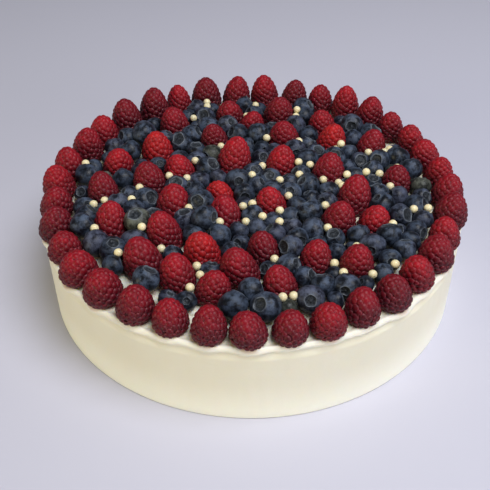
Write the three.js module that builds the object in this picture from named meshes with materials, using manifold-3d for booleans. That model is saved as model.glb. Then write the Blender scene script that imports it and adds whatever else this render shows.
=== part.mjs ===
import * as THREE from 'three';
import { mergeVertices } from 'three/addons/utils/BufferGeometryUtils.js';
import Module from 'manifold-3d';

// A round cream cake of one tier, its top covered with berries: a ring of upright raspberries
// along the edge, and inside it a heap of blueberries, more raspberries and sugar pearls.
// Millimetres, Z up. The origin is the middle of the underside, and the front is at -Y.

const wasm = await Module();
wasm.setup();

// Driving sizes
const touchGap = 0.3; // left between pieces that touch
const cake = {
  radius: 135.5,
  height: 56.5,
  segments: 60,
  footRound: 0.8, // the cream's edge at the board
  lipDepth: 4.2, // how far below the top the raised lip of the side begins
  lipStandOut: 0.4, // how far the lip stands out from the side
  neckPullIn: 0.7, // the soft hollow under the lip
  lipWave: 1.1, // the lip swings in and out by up to this
};
const rim = {
  count: 36,
  radius: 126.9,
  radiusSpread: 0.8,
  startAngle: -172.7, // the leftmost berry seen from the front; the ring runs over the back
  drift: 1.9, // degrees that the even spacing is off by, once round
  angleSpread: 0.5,
  easing: 10, // rounds in which each berry moves towards the middle of its gap
  width: 22.3,
  widthSpread: 1.9,
  slender: [0.9, 1.1], // height over width, least and most, at the front
  backSlender: 0.2, // those at the back are slenderer by up to this
  lean: 0.1, // sideways shift for each unit of height
  clearance: 1.1, // the heap keeps this far from the ring's berries
  sides: 8,
};
// Raspberries inside the ring: a circle's radius, and the angles of the berries on it.
const innerCircles = [
  [21, [-166, -52]],
  [34, [55, 113, -119]],
  [53, [157, 17, -160]],
  [66, [113, 69, 173, -12, -31, -85]],
  [71, [-114, -137]],
  [80, [145, 91, 46, -26, -63, -94]],
  [96, [162, 125, 99, 78, 57, 30, 5, -51, -80, -103, -116, -130, -156, -177]],
];
const inner = { width: 21.8, widthSpread: 2.2, slender: [1, 1.2], lean: 0.16, sides: 6 };
const blueberry = {
  count: 144,
  places: 40, // random places that each is offered; it takes the freest
  diameter: 14.8,
  diameterSpread: 2.4,
  flattening: 0.88, // length along the stalk over width
  closeness: 0.9, // how near they lie, against balls of their width
  rise: 3, // one that is pressed less deep into the cream lies up to this much higher
  tilt: 80, // most degrees that the crown's end is turned from straight up
  sides: 5,
  highestLift: 6, // one that found no room lower than this isn't laid
};
// Small blueberries, pressed into the holes that the others leave
const filler = {
  tries: 40,
  places: 160,
  leastRoom: 2.7, // from the hole's middle to what lies round it
  squeeze: 2, // half the filler's width over that room
  smallest: 5.4, // half widths
  largest: 6.8,
};
const pearl = {
  count: 68,
  diameter: 5.3,
  lowest: 8, // middles, above the cake's top
  highest: 17,
  sink: 1.4, // how far it is pressed into the berries that it lies on
};
const bed = { radius: 113.5, thickness: 8.6, segments: 40 }; // the heap's core
const layingSeed = 271;

// A raspberry's widest place: share of half width, share of height
const belly = { wide: 1.02, up: 0.28 };
// How its outline runs from foot to tip, in the same shares
const raspberryOutline = [
  [0, 0],
  [0.78, 0],
  [belly.wide, belly.up],
  [0.92, 0.6],
  [0.58, 0.88],
  [0, 1],
];
// A blueberry's, from its stalk end to its crown end: shares of half its width and half its length.
const blueberryOutline = [
  [0, -1],
  [1, -0.35],
  [0.93, 0.45],
  [0, 1],
];
// Balls that stand for a raspberry while the berries settle: share of height, share of width.
const raspberryBalls = [
  [0.3, 0.51],
  [0.56, 0.45],
  [0.8, 0.3],
];

const creamFinish = new THREE.MeshStandardMaterial({ color: 0xece8d2, roughness: 0.5 });
const raspberryFinish = new THREE.MeshStandardMaterial({ color: 0x8e1a2a, roughness: 0.45 });
const heapFinish = new THREE.MeshStandardMaterial({ color: 0x2c3850, roughness: 0.6 });

// Random draws that come out the same each time.
class Draws {
  constructor(seed) {
    this.state = seed;
  }

  between(low, high) {
    this.state = (this.state * 1664525 + 1013904223) % 4294967296;
    return low + ((high - low) * this.state) / 4294967296;
  }

  around(middle, spread) {
    return this.between(middle - spread, middle + spread);
  }
}

const radians = (degrees) => (degrees * Math.PI) / 180;

// Places are kept to a thousandth of a millimetre.
const tidied = (value) => Math.floor(value * 1000 + 0.5) / 1000;

const onCircle = (radius, angle) => ({
  x: tidied(radius * Math.cos(angle)),
  y: tidied(radius * Math.sin(angle)),
});

const flatDistance = (a, b) => Math.sqrt((a.x - b.x) * (a.x - b.x) + (a.y - b.y) * (a.y - b.y));

// Two balls that overlap move apart; the first takes this share of the way.
function pushApart(a, b, share) {
  const dx = b.x - a.x;
  const dy = b.y - a.y;
  const dz = b.z - a.z;
  const reach = a.r + b.r;
  const squared = dx * dx + dy * dy + dz * dz;
  if (squared >= reach * reach) return;
  const distance = Math.sqrt(squared) + 1e-6;
  const step = (reach - distance) / distance;
  a.x -= dx * step * share;
  a.y -= dy * step * share;
  a.z -= dz * step * share;
  b.x += dx * step * (1 - share);
  b.y += dy * step * (1 - share);
  b.z += dz * step * (1 - share);
}

// Balls roll off each other and off the fixed ones, and sink a little at each step.
function settle(balls, fixed, steps, sinking, stayDown) {
  const lookRound = 4;
  const stepsBetweenLooks = 15;
  const lastRounds = 10; // in which nothing but the fixed balls pushes
  let near = [];
  for (let step = 0; step < steps; step++) {
    if (step % stepsBetweenLooks === 0) {
      for (const ball of balls) {
        ball.x = tidied(ball.x);
        ball.y = tidied(ball.y);
        ball.z = tidied(ball.z);
      }
      const close = (a, b) => flatDistance(a, b) < a.r + b.r + lookRound;
      near = balls.map((ball, i) => ({
        mates: balls.slice(i + 1).filter((other) => close(ball, other)),
        walls: fixed.filter((other) => close(ball, other)),
      }));
    }
    balls.forEach((ball, i) => {
      ball.z -= sinking;
      for (const mate of near[i].mates) pushApart(ball, mate, 0.5);
      for (const wall of near[i].walls) pushApart(ball, wall, 1);
      if (ball.z < ball.lowest || stayDown) ball.z = ball.lowest;
    });
  }
  balls.forEach((ball, i) => {
    for (let round = 0; round < lastRounds; round++) {
      for (const wall of near[i].walls) pushApart(ball, wall, 1);
    }
    ball.x = tidied(ball.x);
    ball.y = tidied(ball.y);
    ball.z = tidied(Math.max(ball.z, ball.lowest));
  });
}

// One raspberry's own size and lean, at a place.
function pickRaspberry(draws, place, kind) {
  const width = draws.around(kind.width, kind.widthSpread);
  const slender = draws.between(...kind.slender);
  return {
    ...place,
    width,
    slender,
    height: width * slender,
    leanX: draws.around(0, kind.lean),
    leanY: draws.around(0, kind.lean),
    turn: draws.between(0, 2 * Math.PI),
  };
}

// Each berry of the ring moves along it, towards the middle of its gap.
function easeRing(berries) {
  berries.forEach((berry, i) => {
    const before = berries.at(i - 1);
    const next = berries[(i + 1) % berries.length];
    const free = flatDistance(berry, before) - before.width / 2;
    const ahead = flatDistance(berry, next) - next.width / 2;
    berry.angle -= (ahead - free) / (4 * berry.radius);
    Object.assign(berry, onCircle(berry.radius, berry.angle));
  });
}

function bellyMiddle({ x, y, width, slender, leanX, leanY }) {
  const up = belly.up * width * slender;
  return { x: x + leanX * up, y: y + leanY * up };
}

// What two neighbours leave free between them; less than nothing where they overlap.
function freeBetween(berry, next) {
  const room = flatDistance(bellyMiddle(berry), bellyMiddle(next)) - touchGap;
  return room / belly.wide - (berry.width + next.width) / 2;
}

// Neighbours in the ring that are too wide for their room are made narrower together, and then
// each berry is made as wide as the nearer of its neighbours lets it be.
function fitRing(berries) {
  const widest = rim.width + rim.widthSpread;
  berries.forEach((berry, i) => {
    const next = berries[(i + 1) % berries.length];
    const overlap = -freeBetween(berry, next);
    if (overlap <= 0) return;
    const narrowing = 1 - (2 * overlap) / (berry.width + next.width);
    berry.width *= narrowing;
    next.width *= narrowing;
  });
  berries.forEach((berry, i) => {
    const before = freeBetween(berries.at(i - 1), berry);
    const ahead = freeBetween(berry, berries[(i + 1) % berries.length]);
    const free = Math.max(0, Math.min(before, ahead));
    berry.width = Math.min(berry.width + 2 * free, Math.max(widest, berry.width));
  });
}

function layRim(draws) {
  const berries = [];
  for (let i = 0; i < rim.count; i++) {
    const turned = (360 * i) / rim.count;
    const even = rim.startAngle - turned - rim.drift * Math.sin(radians(turned));
    const radius = draws.around(rim.radius, rim.radiusSpread);
    const angle = radians(draws.around(even, rim.angleSpread));
    const berry = pickRaspberry(draws, onCircle(radius, angle), rim);
    berries.push({ ...berry, radius, angle });
  }
  for (let round = 0; round < rim.easing; round++) easeRing(berries);
  for (const berry of berries) {
    berry.slender += rim.backSlender * Math.sqrt(Math.max(0, berry.y / rim.radius));
  }
  fitRing(berries);
  for (const berry of berries) berry.height = berry.width * berry.slender;
  return berries;
}

function layInner(draws, rimBerries) {
  const rounds = 40;
  const berries = [];
  for (const [radius, angles] of innerCircles) {
    for (const angle of angles) {
      berries.push(pickRaspberry(draws, onCircle(radius, radians(angle)), inner));
    }
  }
  const disc = (berry) => ({ x: berry.x, y: berry.y, z: 0, r: berry.width / 2 + touchGap });
  const discs = berries.map(disc);
  const ring = rimBerries.map(disc);
  for (let round = 0; round < rounds; round++) {
    discs.forEach((one, i) => {
      for (const other of discs.slice(i + 1)) pushApart(one, other, 0.5);
      for (const other of ring) pushApart(one, other, 1);
    });
  }
  berries.forEach((berry, i) => {
    berry.x = tidied(discs[i].x);
    berry.y = tidied(discs[i].y);
  });
  return berries;
}

function ballsOf(berries, margin) {
  return berries.flatMap((berry) =>
    raspberryBalls.map(([up, wide]) => ({
      x: berry.x + berry.leanX * berry.height * up,
      y: berry.y + berry.leanY * berry.height * up,
      z: berry.height * up,
      r: berry.width * wide + margin,
    })),
  );
}

// The freest of some random places inside the ring, and how far it is from what lies round it
function freestPlace(draws, discs, places) {
  const outermost = rim.radius - rim.width * 0.75;
  let best = null;
  for (let k = 0; k < places; k++) {
    const distance = outermost * Math.sqrt(draws.between(0, 1));
    const place = onCircle(distance, draws.between(0, 2 * Math.PI));
    let room = Infinity;
    for (const other of discs) room = Math.min(room, flatDistance(place, other) - other.r);
    if (!best || room > best.room) best = { ...place, room };
  }
  return best;
}

const isLow = (ball) => ball.z - ball.lowest < blueberry.highestLift;

function fillHoles(draws, laid, floorDiscs) {
  const { tries, places, leastRoom, squeeze, smallest, largest } = filler;
  for (let i = 0; i < tries; i++) {
    const { x, y, room } = freestPlace(draws, [...floorDiscs, ...laid.filter(isLow)], places);
    if (room < leastRoom) continue;
    const halfWidth = Math.max(smallest, Math.min(room + squeeze, largest));
    laid.push({ x, y, z: halfWidth, r: halfWidth * blueberry.closeness, lowest: halfWidth, halfWidth });
  }
}

// Each blueberry takes a free place, all of them settle, and small ones fill the holes.
function layBlueberries(draws, fixed, floorDiscs) {
  const spreadSteps = 150; // side by side on the cream
  const settleSteps = 120;
  const fillSteps = 60;
  const sinking = 0.3; // a step
  const laid = [];
  for (let i = 0; i < blueberry.count; i++) {
    const halfWidth = draws.around(blueberry.diameter, blueberry.diameterSpread) / 2;
    const { x, y } = freestPlace(draws, [...floorDiscs, ...laid], blueberry.places);
    const lowest = halfWidth + blueberry.rise * draws.between(0, 1) * draws.between(0, 1);
    laid.push({ x, y, z: lowest, r: halfWidth * blueberry.closeness, lowest, halfWidth });
  }
  settle(laid, fixed, spreadSteps, 0, true);
  settle(laid, fixed, settleSteps, sinking, false);
  fillHoles(draws, laid, floorDiscs);
  settle(laid, fixed, fillSteps, sinking, false);
  for (const ball of laid) {
    ball.tilt = radians(blueberry.tilt) * Math.sqrt(draws.between(0, 1));
    ball.turn = draws.between(0, 2 * Math.PI);
  }
  return laid.filter(isLow);
}

// Each pearl is dropped, rolls down between the berries, and stays if it can be seen there.
function layPearls(draws, solid) {
  const mostTries = 600;
  const dropHeight = 30;
  const steps = 120;
  const stepsBetweenLooks = 30;
  const lookRound = 6;
  const fall = 0.4; // a step
  const crowdReach = 9;
  const loneliness = 0.6; // share of the pearls with a neighbour that are taken away
  const r = pearl.diameter / 2;
  const outermost = rim.radius - rim.width * 0.6;
  const laid = [];
  for (let tries = 0; tries < mostTries && laid.length < pearl.count; tries++) {
    const distance = outermost * Math.sqrt(draws.between(0, 1));
    const ball = { ...onCircle(distance, draws.between(0, 2 * Math.PI)), z: dropHeight, r };
    let walls = [];
    for (let step = 0; step < steps; step++) {
      if (step % stepsBetweenLooks === 0) {
        const near = (other) => flatDistance(ball, other) < other.r + r + lookRound;
        walls = [...solid, ...laid].filter(near);
      }
      ball.z -= fall;
      for (const wall of walls) pushApart(ball, wall, 1);
      ball.z = Math.max(ball.z, r);
    }
    const crowd = laid.filter((other) => flatDistance(ball, other) < crowdReach).length;
    const unwanted = crowd > 1 || (crowd === 1 && draws.between(0, 1) < loneliness);
    if (unwanted || ball.z < pearl.lowest || ball.z > pearl.highest) continue;
    laid.push({ x: tidied(ball.x), y: tidied(ball.y), z: tidied(ball.z), r });
  }
  return laid;
}

// Layout of the whole cover, above the cake's top
function layCover() {
  const draws = new Draws(layingSeed);
  const rimBerries = layRim(draws);
  const innerBerries = layInner(draws, rimBerries);
  const ring = ballsOf(rimBerries, rim.clearance);
  const among = ballsOf(innerBerries, 0);
  const floorDiscs = [...rimBerries, ...innerBerries].map((berry) => ({
    x: berry.x,
    y: berry.y,
    r: berry.width / 2,
  }));
  const blueberries = layBlueberries(draws, [...ring, ...among], floorDiscs);
  const pearls = layPearls(draws, [...ring, ...among, ...blueberries]);
  return { rimBerries, innerBerries, blueberries, pearls };
}

// A turned solid with its axis along Z, each row of corners a half step on from the last.
function turned(outline, sides, twist) {
  const points = outline.map(([radius, height]) => new THREE.Vector2(radius, height));
  const geometry = new THREE.LatheGeometry(points, sides).rotateX(Math.PI / 2);
  if (!twist) return geometry;
  const place = geometry.getAttribute('position');
  const halfStep = Math.PI / sides;
  for (let i = 0; i < place.count; i++) {
    const angle = halfStep * (i % outline.length);
    const x = place.getX(i);
    const y = place.getY(i);
    place.setX(i, x * Math.cos(angle) - y * Math.sin(angle));
    place.setY(i, x * Math.sin(angle) + y * Math.cos(angle));
  }
  return geometry;
}

function raspberryShape(berry, sides) {
  const halfWidth = berry.width / 2;
  const outline = raspberryOutline.map(([wide, up]) => [wide * halfWidth, up * berry.height]);
  return turned(outline, sides, true)
    .rotateZ(berry.turn)
    .applyMatrix4(new THREE.Matrix4().makeShear(0, 0, 0, 0, berry.leanX, berry.leanY));
}

function blueberryShape(berry) {
  const { halfWidth } = berry;
  const halfLength = halfWidth * blueberry.flattening;
  const outline = blueberryOutline.map(([wide, along]) => [wide * halfWidth, along * halfLength]);
  return turned(outline, blueberry.sides, true)
    .rotateX(berry.tilt)
    .rotateZ(berry.turn)
    .translate(berry.x, berry.y, berry.z);
}

function asSolid(geometry) {
  const bare = new THREE.BufferGeometry();
  bare.setAttribute('position', geometry.getAttribute('position'));
  if (geometry.index) bare.setIndex(geometry.index);
  const merged = mergeVertices(bare, 1e-3);
  return new wasm.Manifold(
    new wasm.Mesh({
      numProp: 3,
      vertProperties: new Float32Array(merged.getAttribute('position').array),
      triVerts: new Uint32Array(merged.index.array),
    }),
  );
}

function asGeometry(solid) {
  const mesh = solid.getMesh();
  return new THREE.BufferGeometry()
    .setAttribute('position', new THREE.BufferAttribute(mesh.vertProperties, 3))
    .setIndex(new THREE.BufferAttribute(mesh.triVerts, 1));
}

// How far the lip swings out at an angle: it bulges under each berry of the ring, unevenly.
function lipSwing(angle) {
  const fromStart = angle - radians(rim.startAngle);
  const underBerries = Math.cos(rim.count * fromStart) * (0.5 + 0.3 * Math.sin(5 * angle + 1));
  return cake.lipWave * (underBerries + 0.3 * Math.sin(13 * angle + 2));
}

// The cake: a smooth upright side, and a wavy lip of cream round the top.
function makeCake() {
  const { radius, height, segments, footRound, lipDepth, lipStandOut, neckPullIn } = cake;
  const lipRows = 3;
  const outline = [
    [0, 0],
    [radius - footRound, 0],
    [radius, footRound],
    [radius - 0.2, height * 0.5],
    [radius - neckPullIn, height - 2 * lipDepth],
    [radius - neckPullIn + 0.1, height - lipDepth],
    [radius + lipStandOut, height - lipDepth * 0.6],
    [radius + lipStandOut, height - lipDepth * 0.25],
    [radius - lipStandOut, height],
    [0, height],
  ];
  const geometry = turned(outline, segments, false);
  const place = geometry.getAttribute('position');
  const lastLipRow = outline.length - 2;
  for (let i = 0; i < place.count; i++) {
    const row = i % outline.length;
    if (row > lastLipRow || row <= lastLipRow - lipRows) continue;
    const x = place.getX(i);
    const y = place.getY(i);
    const scale = 1 + lipSwing(Math.atan2(y, x)) / radius;
    place.setX(i, x * scale);
    place.setY(i, y * scale);
  }
  const mesh = new THREE.Mesh(geometry, creamFinish);
  mesh.name = 'cake';
  return mesh;
}

function makeRimBerry(berry, index) {
  const mesh = new THREE.Mesh(raspberryShape(berry, rim.sides), raspberryFinish);
  mesh.name = 'raspberry_rim_' + String(index + 1).padStart(2, '0');
  mesh.position.set(berry.x, berry.y, touchGap);
  return mesh;
}

// A pearl is pressed into the berry that it touches most, so that the two are one.
function sunkPearl(ball, solid) {
  let nearest = null;
  for (const other of solid) {
    const free = Math.hypot(ball.x - other.x, ball.y - other.y, ball.z - other.z) - other.r;
    if (!nearest || free < nearest.free) nearest = { other, free };
  }
  const { other, free } = nearest;
  const share = (free - ball.r + pearl.sink) / (free + other.r);
  return {
    x: ball.x + (other.x - ball.x) * share,
    y: ball.y + (other.y - ball.y) * share,
    z: ball.z + (other.z - ball.z) * share,
  };
}

// The heap: a flat core with the berries and pearls that show fused on.
function makeHeap({ innerBerries, blueberries, pearls }) {
  const outline = [
    [0, 0],
    [bed.radius, 0],
    [bed.radius, bed.thickness],
    [0, bed.thickness],
  ];
  let heap = asSolid(turned(outline, bed.segments, false));
  for (const berry of innerBerries) {
    heap = heap.add(asSolid(raspberryShape(berry, inner.sides).translate(berry.x, berry.y, 0)));
  }
  for (const berry of blueberries) heap = heap.add(asSolid(blueberryShape(berry)));
  const under = [...ballsOf(innerBerries, 0), ...blueberries];
  const pearlReach = 1.1; // the corners of its eight faces stand out past the round pearl
  for (const ball of pearls) {
    const { x, y, z } = sunkPearl(ball, under);
    heap = heap.add(asSolid(new THREE.OctahedronGeometry(ball.r * pearlReach, 0).translate(x, y, z)));
  }
  const [largest] = heap.decompose().sort((a, b) => b.volume() - a.volume());
  const mesh = new THREE.Mesh(asGeometry(largest), heapFinish);
  mesh.name = 'berry_heap';
  mesh.position.z = touchGap;
  return mesh;
}

const cover = layCover();
const onTop = new THREE.Group();
onTop.position.z = cake.height;
onTop.add(...cover.rimBerries.map(makeRimBerry), makeHeap(cover));

const group = new THREE.Group();
group.add(makeCake(), onTop);

export default group;
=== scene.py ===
import math

import bmesh
import bpy
import numpy as np
from mathutils import Matrix, Vector, noise


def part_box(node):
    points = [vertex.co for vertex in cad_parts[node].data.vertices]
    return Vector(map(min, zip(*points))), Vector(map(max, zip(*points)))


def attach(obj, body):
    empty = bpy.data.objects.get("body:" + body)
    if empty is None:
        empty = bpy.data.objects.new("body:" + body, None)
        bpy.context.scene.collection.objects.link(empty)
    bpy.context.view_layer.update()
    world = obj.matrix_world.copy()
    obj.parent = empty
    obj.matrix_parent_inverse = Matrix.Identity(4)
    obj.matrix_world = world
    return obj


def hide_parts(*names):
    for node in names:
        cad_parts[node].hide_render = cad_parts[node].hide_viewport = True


# A one-tier cream cake with raspberries, blueberries and sugar pearls on top. Sizes here are
# in millimetres and become metres where a mesh is made.
mm = 0.001

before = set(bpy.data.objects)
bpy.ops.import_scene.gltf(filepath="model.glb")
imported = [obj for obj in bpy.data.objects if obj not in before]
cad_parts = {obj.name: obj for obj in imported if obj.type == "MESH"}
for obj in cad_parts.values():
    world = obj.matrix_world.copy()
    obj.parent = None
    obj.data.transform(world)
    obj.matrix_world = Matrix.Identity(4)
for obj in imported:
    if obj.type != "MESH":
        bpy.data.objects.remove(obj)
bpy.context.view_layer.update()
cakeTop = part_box("cake")[1].z / mm

# Where the berries lie: the same rule and the same draws as the solids have.
laying = {
    "seed": 271,
    "gap": 0.3,  # left free between pieces that would touch
    "rimCount": 36,
    "rimRadius": 126.9,
    "rimRadiusSpread": 0.8,
    "rimStart": -172.7,  # degrees, the leftmost berry; the ring runs over the back
    "rimDrift": 1.9,  # degrees that the even spacing is off by, once round
    "rimAngleSpread": 0.5,
    "rimEasing": 10,  # rounds in which each berry moves towards the middle of its gap
    "rimWidth": 22.3,
    "rimWidthSpread": 1.9,
    "rimSlender": (0.9, 1.1),  # height over width, at the front
    "rimBackSlender": 0.2,  # those at the back are slenderer by up to this
    "rimLean": 0.1,  # sideways shift for each unit of height
    "rimClearance": 1.1,  # the heap keeps this far from the ring's berries
    "innerWidth": 21.8,
    "innerWidthSpread": 2.2,
    "innerSlender": (1, 1.2),
    "innerLean": 0.16,
    "blueberryCount": 144,
    "blueberryPlaces": 40,  # random places that each is offered; it takes the freest
    "blueberryWidth": 14.8,
    "blueberryWidthSpread": 2.4,
    "blueberryCloseness": 0.9,  # how near they lie, against balls of their width
    "blueberryRise": 3,  # one that is pressed less deep lies up to this much higher
    "blueberryTilt": 80,  # most degrees that its crown's end is turned from straight up
    "highestLift": 6,  # one that found no room lower than this isn't laid
    "fillerTries": 40,  # small blueberries, for the holes that the others leave
    "fillerPlaces": 160,
    "fillerLeastRoom": 2.7,  # from the hole's middle to what lies round it
    "fillerSqueeze": 2,  # half the filler's width over that room
    "fillerSmallest": 5.4,  # half widths
    "fillerLargest": 6.8,
    "pearlCount": 68,
    "pearlWidth": 5.3,
    "pearlLowest": 8,  # middles, above the cake's top
    "pearlHighest": 17,
}
# Raspberries inside the ring: a circle's radius and the angles of the berries on it.
innerCircles = [
    (21, (-166, -52)),
    (34, (55, 113, -119)),
    (53, (157, 17, -160)),
    (66, (113, 69, 173, -12, -31, -85)),
    (71, (-114, -137)),
    (80, (145, 91, 46, -26, -63, -94)),
    (96, (162, 125, 99, 78, 57, 30, 5, -51, -80, -103, -116, -130, -156, -177)),
]
# Balls that stand for a raspberry while the others settle: share of height, share of width.
raspberryBalls = ((0.3, 0.51), (0.56, 0.45), (0.8, 0.3))
bellyWide = 1.02  # a raspberry's widest place: share of half width
bellyUp = 0.28  # and of height


# Random draws that come out the same each time, here and in the solids
class Draws:
    def __init__(self, seed):
        self.state = seed

    def between(self, low, high):
        self.state = (self.state * 1664525 + 1013904223) % 4294967296
        return low + ((high - low) * self.state) / 4294967296

    def around(self, middle, spread):
        return self.between(middle - spread, middle + spread)


def radians(degrees):
    return degrees * math.pi / 180


# Places are kept to a thousandth of a millimetre.
def tidied(value):
    return math.floor(value * 1000 + 0.5) / 1000


def onCircle(radius, angle):
    return [tidied(radius * math.cos(angle)), tidied(radius * math.sin(angle))]


def flatDistance(a, b):
    return math.sqrt((a[0] - b[0]) * (a[0] - b[0]) + (a[1] - b[1]) * (a[1] - b[1]))


# A ball is a list: x, y, z, radius and, if it moves, its lowest z. Two that overlap move apart, the
# first by this share.
def pushApart(a, b, share):
    dx = b[0] - a[0]
    dy = b[1] - a[1]
    dz = b[2] - a[2]
    reach = a[3] + b[3]
    squared = dx * dx + dy * dy + dz * dz
    if squared >= reach * reach:
        return
    distance = math.sqrt(squared) + 1e-6
    step = (reach - distance) / distance
    a[0] -= dx * step * share
    a[1] -= dy * step * share
    a[2] -= dz * step * share
    b[0] += dx * step * (1 - share)
    b[1] += dy * step * (1 - share)
    b[2] += dz * step * (1 - share)


def isNear(a, b, reach):
    return flatDistance(a, b) < a[3] + b[3] + reach


# The balls push each other apart and are pushed by the fixed ones, while they sink.
def settle(balls, fixed, steps, sinking, stayDown):
    lookRound = 4
    stepsBetweenLooks = 15
    lastRounds = 10  # in which nothing but the fixed balls pushes
    near = []
    for step in range(steps):
        if step % stepsBetweenLooks == 0:
            for ball in balls:
                ball[:3] = [tidied(value) for value in ball[:3]]
            near = []
            for i, ball in enumerate(balls):
                mates = [other for other in balls[i + 1 :] if isNear(ball, other, lookRound)]
                walls = [other for other in fixed if isNear(ball, other, lookRound)]
                near.append((ball, mates, walls))
        for ball, mates, walls in near:
            ball[2] -= sinking
            for mate in mates:
                pushApart(ball, mate, 0.5)
            for wall in walls:
                pushApart(ball, wall, 1)
            if ball[2] < ball[4] or stayDown:
                ball[2] = ball[4]
    for ball, mates, walls in near:
        for _ in range(lastRounds):
            for wall in walls:
                pushApart(ball, wall, 1)
        ball[:3] = [tidied(ball[0]), tidied(ball[1]), tidied(max(ball[2], ball[4]))]


def pickRaspberry(draws, place, kind):
    lean = laying[kind + "Lean"]
    width = draws.around(laying[kind + "Width"], laying[kind + "WidthSpread"])
    slender = draws.between(*laying[kind + "Slender"])
    leanX = draws.around(0, lean)
    leanY = draws.around(0, lean)
    turn = draws.between(0, 2 * math.pi)
    berry = {"place": place, "width": width, "slender": slender, "height": width * slender}
    return {**berry, "lean": (leanX, leanY), "turn": turn}


def bellyMiddle(berry):
    up = bellyUp * berry["width"] * berry["slender"]
    return [berry["place"][0] + berry["lean"][0] * up, berry["place"][1] + berry["lean"][1] * up]


# What two neighbours in the ring leave free between them
def freeBetween(berry, following):
    room = flatDistance(bellyMiddle(berry), bellyMiddle(following)) - laying["gap"]
    return room / bellyWide - (berry["width"] + following["width"]) / 2


def layRim(draws):
    berries = []
    count = laying["rimCount"]
    for i in range(count):
        turned = (360 * i) / count
        angle = laying["rimStart"] - turned - laying["rimDrift"] * math.sin(radians(turned))
        radius = draws.around(laying["rimRadius"], laying["rimRadiusSpread"])
        angle = radians(draws.around(angle, laying["rimAngleSpread"]))
        berry = pickRaspberry(draws, onCircle(radius, angle), "rim")
        berries.append({**berry, "radius": radius, "angle": angle})
    for _ in range(laying["rimEasing"]):  # each moves towards the middle of its gap
        for i, berry in enumerate(berries):
            before = berries[i - 1]
            following = berries[(i + 1) % count]
            behind = flatDistance(berry["place"], before["place"]) - before["width"] / 2
            ahead = flatDistance(berry["place"], following["place"]) - following["width"] / 2
            forward = (ahead - behind) / 4  # the ring runs clockwise
            berry["angle"] -= forward / berry["radius"]
            berry["place"] = onCircle(berry["radius"], berry["angle"])
    for berry in berries:
        backward = max(0, berry["place"][1] / laying["rimRadius"])
        berry["slender"] += laying["rimBackSlender"] * math.sqrt(backward)
    for i, berry in enumerate(berries):  # too wide for their room: both made narrower
        following = berries[(i + 1) % count]
        overlap = -freeBetween(berry, following)
        if overlap > 0:
            narrowing = 1 - (2 * overlap) / (berry["width"] + following["width"])
            berry["width"] *= narrowing
            following["width"] *= narrowing
    widest = laying["rimWidth"] + laying["rimWidthSpread"]
    for i, berry in enumerate(berries):  # each made as wide as its nearer neighbour lets it be
        before = freeBetween(berries[i - 1], berry)
        ahead = freeBetween(berry, berries[(i + 1) % count])
        free = max(0, min(before, ahead))
        berry["width"] = min(berry["width"] + 2 * free, max(widest, berry["width"]))
    for berry in berries:
        berry["height"] = berry["width"] * berry["slender"]
    return berries


def layInner(draws, rimBerries):
    rounds = 40
    berries = []
    for radius, angles in innerCircles:
        for angle in angles:
            place = onCircle(radius, radians(angle))
            berries.append(pickRaspberry(draws, place, "inner"))

    def disc(berry):
        return [berry["place"][0], berry["place"][1], 0, berry["width"] / 2 + laying["gap"]]

    discs = [disc(berry) for berry in berries]
    ring = [disc(berry) for berry in rimBerries]
    for _ in range(rounds):
        for i, one in enumerate(discs):
            for other in discs[i + 1 :]:
                pushApart(one, other, 0.5)
            for other in ring:
                pushApart(one, other, 1)
    for berry, one in zip(berries, discs):
        berry["place"] = [tidied(one[0]), tidied(one[1])]
    return berries


def ballsOf(berries, margin):
    balls = []
    for berry in berries:
        for up, wide in raspberryBalls:
            x = berry["place"][0] + berry["lean"][0] * berry["height"] * up
            y = berry["place"][1] + berry["lean"][1] * berry["height"] * up
            balls.append([x, y, berry["height"] * up, berry["width"] * wide + margin])
    return balls


# The freest of some random places inside the ring, and how far it is from what lies round it
def freestPlace(draws, discs, places):
    keptFree = 0.75  # of the width of a berry in the ring
    outermost = laying["rimRadius"] - laying["rimWidth"] * keptFree
    best = None
    for _ in range(places):
        distance = outermost * math.sqrt(draws.between(0, 1))
        place = onCircle(distance, draws.between(0, 2 * math.pi))
        room = min(flatDistance(place, other) - other[3] for other in discs)
        if best is None or room > best[0]:
            best = (room, place)
    return best


def isLow(ball):
    return ball[2] - ball[4] < laying["highestLift"]


def fillHoles(draws, balls, floorDiscs):
    halfWidths = []
    for _ in range(laying["fillerTries"]):
        low = [ball for ball in balls if isLow(ball)]
        room, place = freestPlace(draws, floorDiscs + low, laying["fillerPlaces"])
        if room < laying["fillerLeastRoom"]:
            continue
        widest = min(room + laying["fillerSqueeze"], laying["fillerLargest"])
        halfWidth = max(laying["fillerSmallest"], widest)
        balls.append([*place, halfWidth, halfWidth * laying["blueberryCloseness"], halfWidth])
        halfWidths.append(halfWidth)
    return halfWidths


def layBlueberries(draws, fixed, floorDiscs):
    spreadSteps = 150  # side by side on the cream
    settleSteps = 120
    fillSteps = 60
    sinking = 0.3  # a step
    balls = []
    halfWidths = []
    for _ in range(laying["blueberryCount"]):
        halfWidth = draws.around(laying["blueberryWidth"], laying["blueberryWidthSpread"]) / 2
        _, place = freestPlace(draws, floorDiscs + balls, laying["blueberryPlaces"])
        lowest = halfWidth + laying["blueberryRise"] * draws.between(0, 1) * draws.between(0, 1)
        balls.append([*place, lowest, halfWidth * laying["blueberryCloseness"], lowest])
        halfWidths.append(halfWidth)
    settle(balls, fixed, spreadSteps, 0, True)
    settle(balls, fixed, settleSteps, sinking, False)
    halfWidths += fillHoles(draws, balls, floorDiscs)
    settle(balls, fixed, fillSteps, sinking, False)
    berries = []
    for ball, halfWidth in zip(balls, halfWidths):
        tilt = radians(laying["blueberryTilt"]) * math.sqrt(draws.between(0, 1))
        turn = draws.between(0, 2 * math.pi)
        if isLow(ball):
            berries.append({"ball": ball, "halfWidth": halfWidth, "tilt": tilt, "turn": turn})
    return berries


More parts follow.
